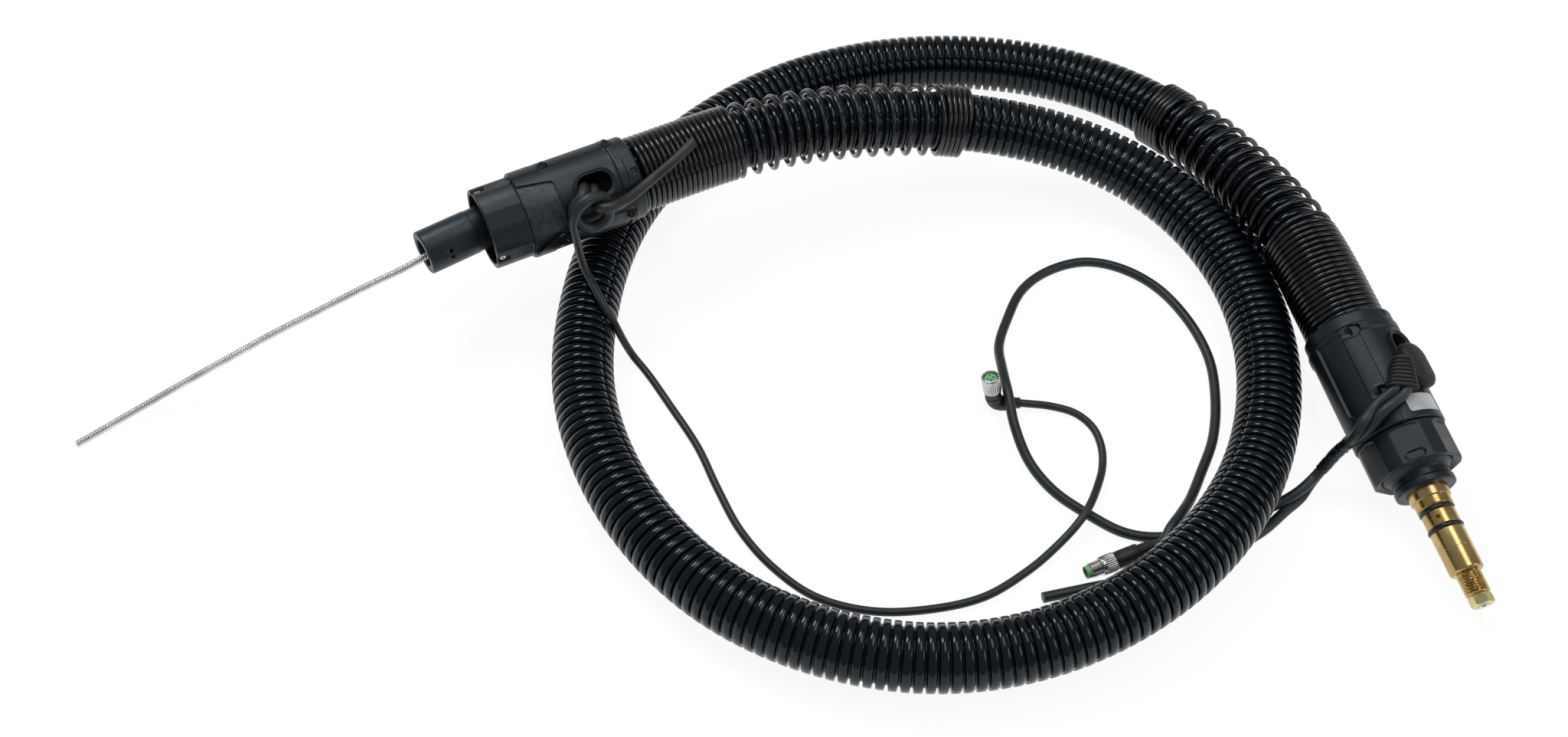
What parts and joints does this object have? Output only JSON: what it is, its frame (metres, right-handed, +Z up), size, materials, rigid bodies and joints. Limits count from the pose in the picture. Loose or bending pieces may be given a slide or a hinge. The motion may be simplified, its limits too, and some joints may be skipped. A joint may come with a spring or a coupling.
{
  "type": "robot mig torch cable assembly",
  "caption": "Welding hose assembly: ribbed cover hose with spring-wound ends, split housings, brass power pin, coupling nut, torch barrel with wire liner, and free signal cables.",
  "frame": {"origin": "on the floor that the assembly lies on, at the middle of its bounding box", "axes": "+X towards the feeder end, +Y away from the viewer, +Z up from the floor"},
  "size_m": [0.7114, 0.4489, 0.0827],
  "materials": {
    "hose": "semi-gloss black, ribbed",
    "cover_spring": "semi-gloss black coated wire",
    "inner_cable": "matt rubber",
    "liner_wire": "wound bright steel",
    "housing": "fine matt grain, black",
    "shell_screw": "black oxide",
    "rubber": "matt rubber, black",
    "bright_screw": "bright zinc",
    "barrel": "dark grey moulding with slight scuffs",
    "ferrule": "crimped steel",
    "cable": "satin grey-black jacket",
    "label": "blank light grey film",
    "collar": "satin black",
    "brass": "turned brass",
    "o_ring": "black nitrile",
    "wrap": "glossy black tape",
    "plug_body": "satin black moulding",
    "plug_nut": "nickel plated, knurled",
    "contact_carrier": "green insulator",
    "contact_pin": "gold flashed"
  },
  "bodies": {
    "assembly": {"hose": "hose", "torch_spring": "cover_spring", "feeder_spring": "cover_spring", "power_cable": "inner_cable", "liner_core": "liner_wire", "control_core": "inner_cable", "torch_port_shell": "housing", "torch_back_shell": "housing", "torch_shell_screws": "shell_screw", "torch_port_rim": "rubber", "torch_end_ring": "housing", "torch_ring_set_screws": "bright_screw", "torch_barrel": "barrel", "torch_cable_ferrule": "ferrule", "wire_liner": "liner_wire", "sensor_cable": "cable", "rubber_tube": "rubber", "feeder_port_shell": "housing", "feeder_back_shell": "housing", "feeder_shell_screws": "shell_screw", "feeder_port_rim": "rubber", "feeder_label": "label", "port_cap": "rubber", "strain_relief": "rubber", "pin_collar": "collar", "power_pin": "brass", "pin_o_rings": "o_ring", "feeder_cable_ferrule": "ferrule", "signal_cable": "cable", "cut_cable": "cable", "cable_wrap": "wrap", "angled_plug_body": "plug_body", "angled_plug_carrier": "contact_carrier", "straight_plug_body": "plug_body", "straight_plug_carrier": "contact_carrier", "straight_plug_pins": "contact_pin"},
    "coupling_nut": {"coupling_nut": "housing"},
    "liner_sleeve": {"liner_end_sleeve": "bright_screw"},
    "liner_screw": {"liner_screw": "brass"},
    "straight_plug_screw": {"straight_plug_screw": "plug_nut"},
    "angled_plug_nut": {"angled_plug_nut": "plug_nut"}
  },
  "joints": [
    {"name": "coupling_nut_turn", "type": "hinge", "parent": "assembly", "child": "coupling_nut", "pos_m": [0.32921, -0.09803, 0.02342], "axis": [0.2396, -0.9609, -0.1392], "continuous": true},
    {"name": "liner_draw", "type": "slide", "parent": "assembly", "child": "liner_sleeve", "axis": [0.2396, -0.9609, -0.1392], "range_m": [0, 0.006]},
    {"name": "liner_screw_turn", "type": "hinge", "parent": "liner_sleeve", "child": "liner_screw", "pos_m": [0.34758, -0.17172, 0.01274], "axis": [0.2396, -0.9609, -0.1392], "range_deg": [-1729, 1]},
    {"name": "straight_plug_screw_turn", "type": "hinge", "parent": "assembly", "child": "straight_plug_screw", "pos_m": [0.17054, -0.15088, 0.00549], "axis": [-0.9271, -0.3708, -0.0541], "continuous": true},
    {"name": "angled_plug_nut_turn", "type": "hinge", "parent": "assembly", "child": "angled_plug_nut", "pos_m": [0.12318, -0.04788, 0.01855], "axis": [-0.2013, 0.1517, 0.9677], "continuous": true}
  ],
  "couplings": [
    {"joint": "liner_screw_turn", "follows": "liner_draw", "rad_per_m": -5026.5}
  ]
}
